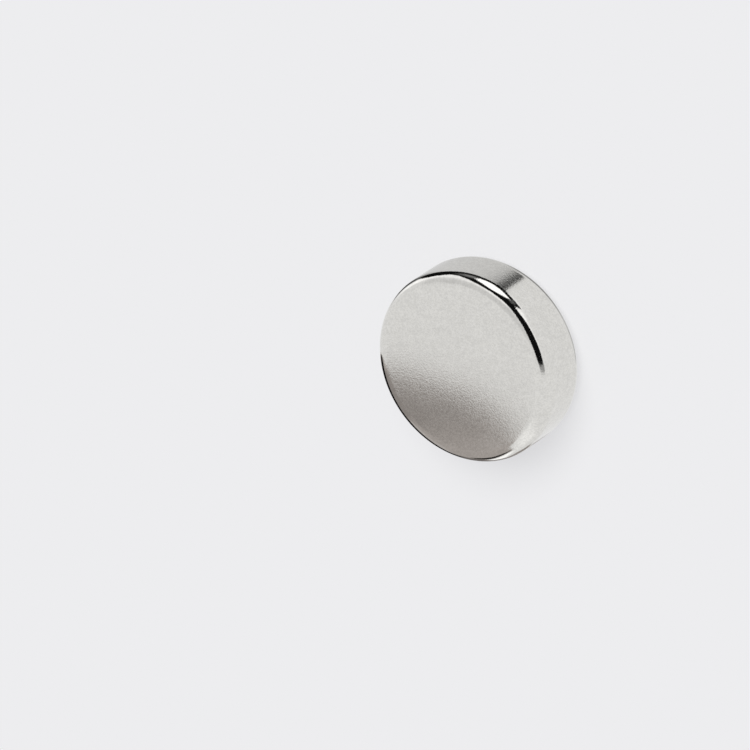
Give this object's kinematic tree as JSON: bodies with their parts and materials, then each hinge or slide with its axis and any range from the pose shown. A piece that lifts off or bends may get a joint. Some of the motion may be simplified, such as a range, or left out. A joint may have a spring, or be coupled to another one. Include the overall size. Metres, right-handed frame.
{
  "type": "disc magnet",
  "caption": "Round disc magnet, three times as wide as it is thick, with flat faces, a straight rim and rounded edges under bright nickel plating.",
  "frame": {"origin": "centre of the lower flat face, on the surface that the disc lies on", "axes": "+Z along the disc's axis, out of the upper flat face; the disc is the same all round, so +X and +Y are any two radial directions"},
  "size_m": [0.015, 0.015, 0.005],
  "materials": {
    "nickel_plating": "bright satin nickel plating with a fine tumbled grain"
  },
  "bodies": {
    "root": {"magnet_disc": "nickel_plating"}
  },
  "joints": []
}
